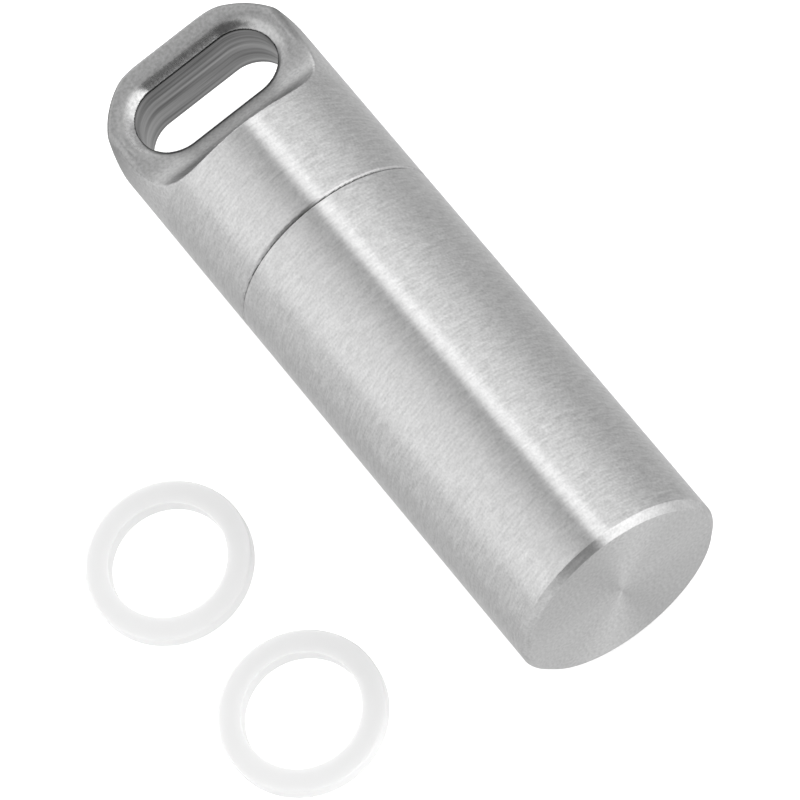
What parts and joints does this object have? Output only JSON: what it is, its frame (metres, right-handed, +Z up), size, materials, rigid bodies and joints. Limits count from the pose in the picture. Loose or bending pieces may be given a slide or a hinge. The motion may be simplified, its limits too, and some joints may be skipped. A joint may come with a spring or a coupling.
{
  "type": "keychain capsule",
  "caption": "Turned steel screw-top capsule with a slotted key-ring tongue, a sealing ring in its cap and spare sealing rings lying beside it.",
  "frame": {"origin": "centre of the bottle's flat base face, on the capsule's axis", "axes": "+X along the capsule's axis from the base towards the slotted cap; +Z up, square to the cap's flats; +Y towards the spare rings"},
  "size_m": [0.056, 0.0384, 0.017],
  "materials": {
    "steel_body": "fine circumferential turning marks, satin",
    "steel_cap": "satin, with tumbled edges and milled slot walls",
    "silicone": "translucent white silicone, soft sheen"
  },
  "bodies": {
    "bottle": {"bottle": "steel_body"},
    "cap_seal": {"cap_seal_ring": "silicone"},
    "cap": {"screw_cap": "steel_cap"},
    "loose_ring_1": {"spare_ring_1": "silicone"},
    "loose_ring_2": {"spare_ring_2": "silicone"}
  },
  "joints": [
    {"name": "cap_travel", "type": "slide", "parent": "bottle", "child": "cap_seal", "axis": [1, 0, 0], "range_m": [0, 0.0075]},
    {"name": "cap_turn", "type": "hinge", "parent": "cap_seal", "child": "cap", "pos_m": [0.043, 0, 0], "axis": [1, 0, 0], "range_deg": [0, 1800]},
    {"name": "ring_1_lift", "type": "slide", "parent": "bottle", "child": "loose_ring_1", "axis": [0, 0, 1], "range_m": [0, 0.02]},
    {"name": "ring_2_lift", "type": "slide", "parent": "bottle", "child": "loose_ring_2", "axis": [0, 0, 1], "range_m": [0, 0.02]}
  ],
  "couplings": [
    {"joint": "cap_travel", "follows": "cap_turn", "m_per_rad": 0.00023873}
  ]
}
